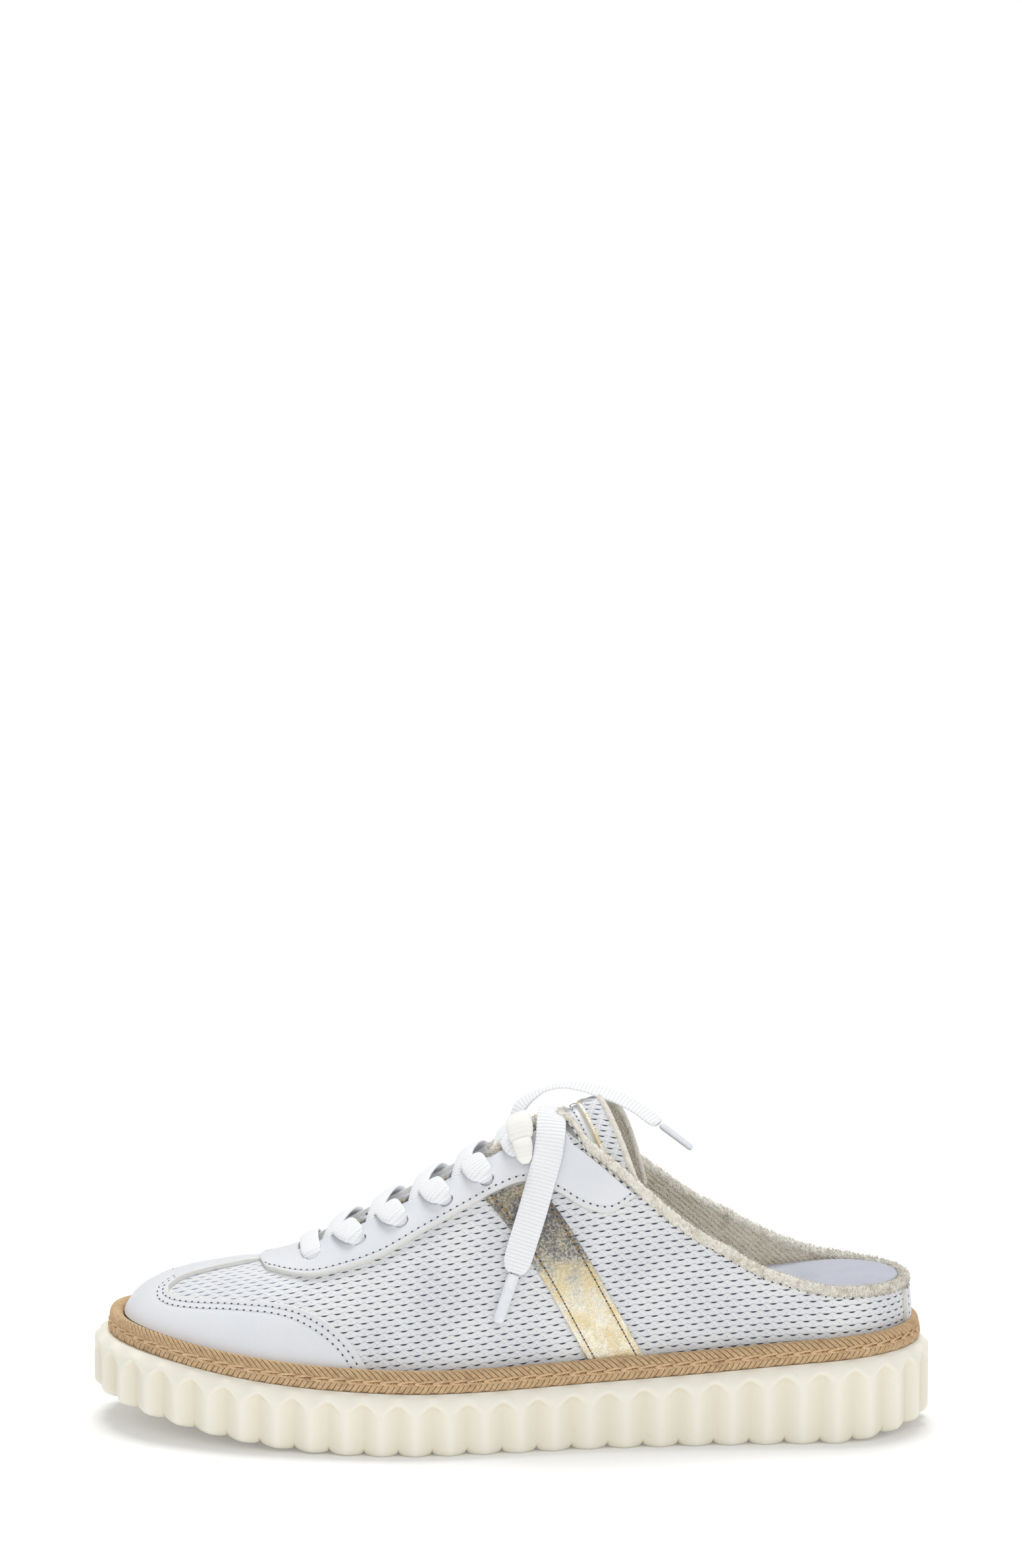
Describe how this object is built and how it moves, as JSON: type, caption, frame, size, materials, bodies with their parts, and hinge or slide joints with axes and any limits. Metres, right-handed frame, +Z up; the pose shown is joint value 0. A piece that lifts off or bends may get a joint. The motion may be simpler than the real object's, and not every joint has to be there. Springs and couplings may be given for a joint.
{
  "type": "sneaker mule",
  "caption": "Backless lace-up trainer mule with a leather and mesh upper, rope welt and a thick fluted platform sole.",
  "frame": {"origin": "middle of the outsole's footprint on the ground", "axes": "+X from toe to heel, +Y towards the inner (medial) side, +Z up"},
  "size_m": [0.277, 0.1012, 0.114],
  "materials": {
    "sole_rubber": "satin ivory rubber",
    "rope": "twisted natural jute cord",
    "insole_leather": "smooth pale grey lining leather",
    "mesh_fabric": "white embossed mesh fabric",
    "white_leather": "smooth white leather",
    "gold_leather": "crackled metallic gold leather",
    "terry": "cream terry cloth",
    "lace_cotton": "white flat woven cotton",
    "aglet_plastic": "clear film tip"
  },
  "bodies": {
    "root": {"outsole": "sole_rubber", "rope_welt": "rope", "insole": "insole_leather", "upper": "mesh_fabric", "toe_cap": "white_leather", "eyestay": "white_leather", "band_outer": "gold_leather", "band_inner": "gold_leather", "backstay": "white_leather", "collar_binding": "terry", "tongue": "white_leather", "lace_bar": "lace_cotton", "lace_crossing_1": "lace_cotton", "lace_crossing_2": "lace_cotton", "lace_crossing_3": "lace_cotton", "lace_crossing_4": "lace_cotton", "lace_crossing_5": "lace_cotton", "lace_knot": "lace_cotton", "lace_end_outer": "lace_cotton", "lace_end_inner": "lace_cotton", "aglet_outer": "aglet_plastic", "aglet_inner": "aglet_plastic"}
  },
  "joints": []
}
